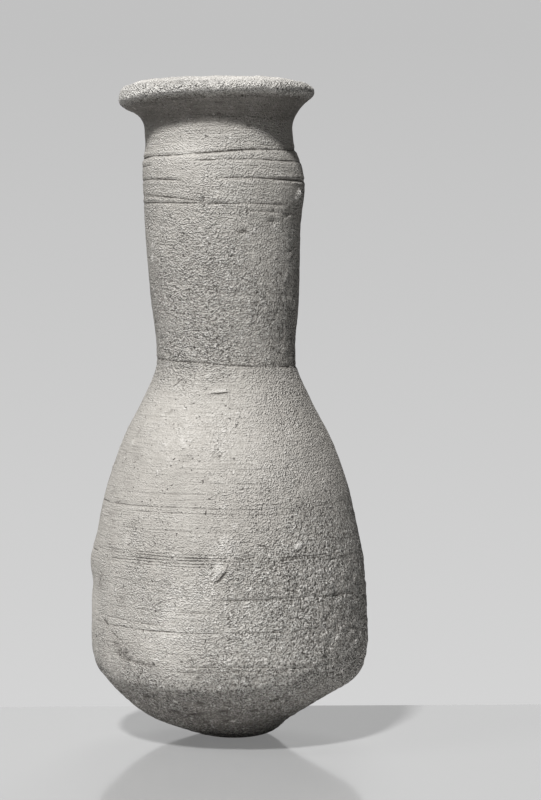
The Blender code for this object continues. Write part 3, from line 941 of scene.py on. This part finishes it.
class Nodes:
    """A short way to add and join shader nodes."""

    def __init__(self, tree):
        self.tree = tree

    def add(self, kind, **settings):
        """A new node of a kind, with its settings."""
        node = self.tree.nodes.new("ShaderNode" + kind)
        for name, value in settings.items():
            setattr(node, name, value)
        return node

    def join(self, output, target):
        """Leads an output into a socket."""
        self.tree.links.new(output, target)

    def stored(self, name, output="Fac"):
        """What the mesh's points hold under a name."""
        return self.add("Attribute", attribute_name=name).outputs[output]

    def math(self, operation, first, second=0.0, clamp=False):
        """The output of a Math node on two numbers or outputs."""
        node = self.add("Math", operation=operation, use_clamp=clamp)
        for socket, value in zip(node.inputs, (first, second)):
            if isinstance(value, (int, float)):
                socket.default_value = value
            else:
                self.join(value, socket)
        return node.outputs[0]

    def mix(self, share, first, second):
        """The output of a colour mix; each colour is a triple or an output."""
        node = self.add("Mix", data_type="RGBA")
        for name, value in (("Factor", share), ("A", first), ("B", second)):
            socket = next(s for s in node.inputs if s.name == name and s.enabled)
            if isinstance(value, (int, float)):
                socket.default_value = value
            elif isinstance(value, tuple):
                socket.default_value = (*value, 1.0)
            else:
                self.join(value, socket)
        return next(s for s in node.outputs if s.enabled)

    def ranged(self, value, low, high, to_low=0.0, to_high=1.0):
        """The value mapped from one range to another and held inside it."""
        node = self.add("MapRange")
        self.join(value, node.inputs["Value"])
        for name, number in (("From Min", low), ("From Max", high), ("To Min", to_low), ("To Max", to_high)):
            node.inputs[name].default_value = number
        return node.outputs["Result"]

    def noise(self, place, size, detail=2.0, roughness=0.5):
        """Noise with features of a size in metres, averaging a half."""
        node = self.add("TexNoise")
        self.join(place, node.inputs["Vector"])
        node.inputs["Scale"].default_value = 1 / size
        node.inputs["Detail"].default_value = detail
        node.inputs["Roughness"].default_value = roughness
        return node.outputs[0]

    def cells(self, place, size, smoothness=0.3):
        """The distance to the nearest of points scattered at a spacing, averaging about a half."""
        node = self.add("TexVoronoi", feature="SMOOTH_F1")
        self.join(place, node.inputs["Vector"])
        node.inputs["Scale"].default_value = 1 / size
        node.inputs["Smoothness"].default_value = smoothness
        return node.outputs["Distance"]

    def swing(self, value, weight):
        """A value that averages a half, as a swing about nothing of a weight."""
        return self.math("MULTIPLY", self.math("SUBTRACT", value, 0.5), weight)

    def total(self, start, *parts):
        """The start with every part added, each an output and its weight."""
        for output, weight in parts:
            start = self.math("ADD", start, self.math("MULTIPLY", output, weight))
        return start


def lined(n, ripple):
    """The depth in mm of the sharp core of every line and crack, with its burrs, and of the painted shade in
    it.
    """
    off = n.add("SeparateXYZ")
    deep = n.add("SeparateXYZ")
    n.join(n.stored("line_off", "Vector"), off.inputs[0])
    n.join(n.stored("line_deep", "Vector"), deep.inputs[0])
    furrow, painted_groove_shade = 0.0, 0.0
    crack = n.stored("cut_off"), n.stored("cut_deep")
    for distance, depth in (*zip(off.outputs, deep.outputs), crack):
        wavering = n.math("ADD", distance, ripple)
        square = n.math("MULTIPLY", wavering, wavering)
        core = n.math("MULTIPLY", depth, n.math("EXPONENT", n.math("MULTIPLY", square, -1.0)))
        burr = n.math("SUBTRACT", 1.0, n.math("MULTIPLY", square, CORE_BURR))
        burred = n.math("MULTIPLY", core, burr)
        furrow = n.math("ADD", furrow, burred)
        painted_groove_shade = n.math("ADD", painted_groove_shade, core)
    return furrow, painted_groove_shade


def fired_clay():
    """Bare, sandy, weathered pottery: gritty all over, with pale grains, pits and fine strokes."""
    clay = bpy.data.materials.new("fired_clay")
    clay.use_nodes = True
    n = Nodes(clay.node_tree)
    shader = clay.node_tree.nodes["Principled BSDF"]
    place = n.add("TexCoord").outputs["Object"]
    tone, stain_and_light, coarse = n.stored("tone"), n.stored("stain_and_light"), n.stored("coarse")

    drawn_out = n.add("Mapping")
    n.join(place, drawn_out.inputs["Vector"])
    drawn_out.inputs["Scale"].default_value = STROKE_SQUEEZE
    drawn_out.inputs["Rotation"].default_value = (0.0, STROKE_TILT, 0.0)

    broad = n.noise(place, BROAD_SIZE, detail=4)
    cloud = n.noise(place, CLOUD_SIZE, detail=5, roughness=0.62)
    lumps = n.noise(place, LUMP_SIZE, detail=1, roughness=0.55)
    grain = n.noise(place, GRAIN_SIZE, detail=1, roughness=0.6)
    sand = n.noise(place, SAND_SIZE, detail=0)
    knobs = n.cells(place, KNOB_SIZE)
    specks = n.noise(place, SPECK_SIZE, detail=0)
    flakes = n.noise(place, FLAKE_SIZE, detail=4, roughness=0.6)
    shards = n.noise(place, SHARD_SIZE, detail=2, roughness=0.6)
    strokes = n.noise(drawn_out.outputs["Vector"], STROKE_SIZE, detail=2, roughness=0.6)
    hollow = n.noise(place, HOLLOW_SIZE, detail=1, roughness=0.5)
    chip = n.noise(place, CHIP_SIZE, detail=1, roughness=0.5)
    sandy = n.math("MINIMUM", coarse, SANDIEST)
    patchy = n.math("MULTIPLY", sandy, n.ranged(cloud, *PATCHES))
    coarsest = n.math("MULTIPLY", patchy, sandy)
    rougher = n.ranged(patchy, *ROUGHER)
    pits = n.ranged(n.math("SUBTRACT", hollow, rougher), *PIT_EDGE)
    grains = n.ranged(n.math("ADD", chip, rougher), *GRAIN_EDGE)
    furrow, painted_groove_shade = lined(n, n.swing(grain, 1.0))
    crusty = n.ranged(coarse, *CRUSTY)
    peppered = n.math("SUBTRACT", n.ranged(specks, *PALE_SPECKS), n.ranged(specks, *DARK_SPECKS))
    peppered = n.math("MULTIPLY", peppered, crusty)
    torn = n.math("ADD", n.ranged(flakes, *FLAKE_EDGE), n.ranged(shards, *SHARD_EDGE))
    torn = n.math("MULTIPLY", n.math("ADD", torn, n.swing(hollow, LIFT["hollow"])), crusty)
    loose = n.math("MULTIPLY", n.swing(sand, LIFT["sand"]), n.ranged(crusty, 0.0, 1.0, 1.0, SAND_IN_CRUST))

    # the colour follows the bump: painted shade in the hollows and painted light on the raised grain
    gritty = n.math("SUBTRACT", n.swing(sand, TINT["sand"]), n.swing(knobs, TINT["knobs"]))
    gritty = n.math("MULTIPLY", n.math("ADD", gritty, n.swing(grain, TINT["grain"])), patchy)
    mottle = n.math("ADD", n.swing(cloud, TINT["cloud"]), n.swing(broad, TINT["broad"]))
    # the stains, with the patch of painted light, broken up by the grain
    broken = n.math("MULTIPLY", stain_and_light, n.ranged(grain, *STAIN_AND_LIGHT_BREAKUP))
    balance = n.math("ADD", mottle, n.math("ADD", gritty, n.swing(strokes, TINT["strokes"])))
    # the tone brings in painted shade and light, by height and on the marks
    balance = n.math("ADD", balance, n.math("ADD", tone, broken))
    balance = n.total(balance, (peppered, TINT["specks"]), (grains, TINT["grains"]))
    # the cores of lines and cracks are painted darker: painted shade in the grooves
    balance = n.total(balance, (pits, TINT["pits"]), (painted_groove_shade, -LINE_PAINTED_SHADE))
    paler = n.ranged(balance, 0.0, PALEST_BALANCE)
    darker = n.ranged(balance, 0.0, DARKEST_BALANCE)
    colour = n.mix(darker, n.mix(paler, CLAY, PALE_CLAY), DARK_CLAY)
    n.join(colour, shader.inputs["Base Color"])

    height = n.math("SUBTRACT", loose, n.swing(knobs, LIFT["knobs"]))
    height = n.math("ADD", height, n.swing(lumps, LIFT["lumps"]))
    height = n.math("MULTIPLY", height, patchy)
    height = n.math("ADD", height, n.math("MULTIPLY", n.swing(grain, LIFT["grain"]), coarsest))
    height = n.math("ADD", height, n.math("ADD", torn, n.math("MULTIPLY", peppered, LIFT["specks"])))
    height = n.math("ADD", height, n.swing(strokes, LIFT["strokes"]))
    height = n.total(height, (grains, LIFT["grains"]), (pits, LIFT["pits"]), (furrow, -LINE_CUT))
    bump = n.add("Bump")
    bump.inputs["Strength"].default_value = 1.0
    bump.inputs["Distance"].default_value = BUMP_DEPTH
    n.join(height, bump.inputs["Height"])
    n.join(bump.outputs["Normal"], shader.inputs["Normal"])

    shader.inputs["Roughness"].default_value = CLAY_ROUGHNESS
    shader.inputs["Specular IOR Level"].default_value = CLAY_SPECULAR
    return clay


def table_white():
    """A pale matt top with a faint gloss, which throws light back up at the vase mostly from near it, and
    which glows to the camera: painted light that lightens its shadows.
    """
    material = bpy.data.materials.new("table_white")
    material.use_nodes = True
    n = Nodes(material.node_tree)
    n.tree.nodes.remove(n.tree.nodes["Principled BSDF"])
    matt, gloss, both = n.add("BsdfDiffuse"), n.add("BsdfGlossy"), n.add("MixShader")
    glow, lit = n.add("Emission"), n.add("AddShader")
    bounced = n.add("LightPath").outputs["Is Diffuse Ray"]
    away = n.add("VectorMath", operation="LENGTH")
    n.join(n.add("NewGeometry").outputs["Position"], away.inputs[0])
    bounce = n.ranged(away.outputs["Value"], TABLE_NEAR, TABLE_FAR, TABLE_BOUNCE_NEAR, TABLE_BOUNCE_FAR)
    n.join(n.mix(bounced, TABLE_COLOUR, bounce), matt.inputs["Color"])
    # the glow, shown to the camera only, is painted light
    n.join(n.math("MULTIPLY", n.math("SUBTRACT", 1.0, bounced), TABLE_GLOW), glow.inputs["Strength"])
    n.join(matt.outputs[0], lit.inputs[0])
    n.join(glow.outputs[0], lit.inputs[1])
    gloss.inputs["Roughness"].default_value = TABLE_GLOSS_ROUGHNESS
    n.join(n.ranged(bounced, 0.0, 1.0, TABLE_GLOSS, TABLE_GLOSS_BOUNCE), both.inputs[0])
    n.join(lit.outputs[0], both.inputs[1])
    n.join(gloss.outputs[0], both.inputs[2])
    n.join(both.outputs[0], n.tree.nodes["Material Output"].inputs["Surface"])
    return material


def table():
    """The pale table top, whose back edge stands close behind the vase."""
    bpy.ops.mesh.primitive_cube_add(size=1.0)
    top = bpy.context.object
    top.name = "table_top"
    depth = TABLE_BACK - TABLE_FRONT
    top.scale = (TABLE_WIDTH, depth, TABLE_THICKNESS)
    top.rotation_euler.z = TABLE_TURN
    middle = (TABLE_BACK + TABLE_FRONT) / 2
    top.location = (-middle * math.sin(TABLE_TURN), middle, -TABLE_DROP - TABLE_THICKNESS / 2)
    top.data.materials.append(table_white())


def lamp(name, place, aim, size, power):
    """A round soft lamp at a place, turned to the point it lights."""
    light = bpy.data.lights.new(name, "AREA")
    light.shape = "DISK"
    light.size = size
    light.energy = power
    holder = bpy.data.objects.new(name, light)
    holder.location = place
    holder.rotation_euler = (Vector(aim) - Vector(place)).to_track_quat("-Z", "Y").to_euler()
    bpy.context.scene.collection.objects.link(holder)
    return holder


def lights(middle):
    """The three lamps, of which only the key shows in the gloss of the table."""
    level = math.cos(KEY_CLIMB)
    towards = Vector((level * math.sin(KEY_TURN), -level * math.cos(KEY_TURN), math.sin(KEY_CLIMB)))
    lamp("key", middle + towards * KEY_DISTANCE, middle, KEY_SIZE, KEY_POWER)
    fill = lamp("fill", Vector(FILL_PLACE), middle, FILL_SIZE, FILL_POWER)
    back = lamp("back", Vector(BACK_LIGHT_PLACE), middle, BACK_LIGHT_SIZE, BACK_LIGHT_POWER)
    for quiet in (fill, back):
        quiet.visible_glossy = False


def room():
    """A plain backdrop, a little darker higher up, that lights the vase only dimly."""
    world = bpy.data.worlds.new("room")
    bpy.context.scene.world = world
    world.use_nodes = True
    n = Nodes(world.node_tree)
    dim = world.node_tree.nodes["Background"]
    dim.inputs["Color"].default_value = (1.0, 1.0, 1.0, 1.0)
    dim.inputs["Strength"].default_value = ROOM_LIGHT
    way = n.add("SeparateXYZ")
    n.join(n.add("TexCoord").outputs["Generated"], way.inputs[0])
    share = n.ranged(way.outputs["Z"], BACKDROP_LOW_AT, BACKDROP_HIGH_AT)
    seen = n.add("Background")
    n.join(n.mix(share, BACKDROP_LOW, BACKDROP_HIGH), seen.inputs["Color"])
    path = n.add("LightPath")
    direct = n.math("ADD", path.outputs["Is Camera Ray"], path.outputs["Is Glossy Ray"], clamp=True)
    either = n.add("MixShader")
    n.join(direct, either.inputs[0])
    n.join(dim.outputs[0], either.inputs[1])
    n.join(seen.outputs[0], either.inputs[2])
    n.join(either.outputs[0], world.node_tree.nodes["World Output"].inputs["Surface"])


def camera():
    """The camera, where the photo was taken from."""
    data = bpy.data.cameras.new("camera")
    data.lens = CAMERA_LENS
    holder = bpy.data.objects.new("camera", data)
    holder.location = CAMERA_PLACE
    holder.rotation_euler = (math.radians(90) - CAMERA_DOWN, 0.0, 0.0)
    bpy.context.scene.collection.objects.link(holder)
    bpy.context.scene.camera = holder


def vase():
    """The skin, which stands for the solid."""
    piece = bpy.data.objects.new("vase_skin", skin_mesh(Skin()))
    piece.data.materials.append(fired_clay())
    bpy.context.scene.collection.objects.link(piece)
    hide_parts("vase")
    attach(piece, "root")


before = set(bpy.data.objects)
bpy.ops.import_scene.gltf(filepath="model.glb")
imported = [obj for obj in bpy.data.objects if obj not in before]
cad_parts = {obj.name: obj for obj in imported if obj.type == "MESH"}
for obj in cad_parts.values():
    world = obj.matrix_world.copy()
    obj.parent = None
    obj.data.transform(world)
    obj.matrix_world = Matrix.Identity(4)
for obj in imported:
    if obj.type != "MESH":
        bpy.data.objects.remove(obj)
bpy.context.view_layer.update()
low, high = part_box("vase")
bpy.context.scene.view_settings.view_transform = "Standard"
camera()
vase()
table()
lights((low + high) / 2)
room()
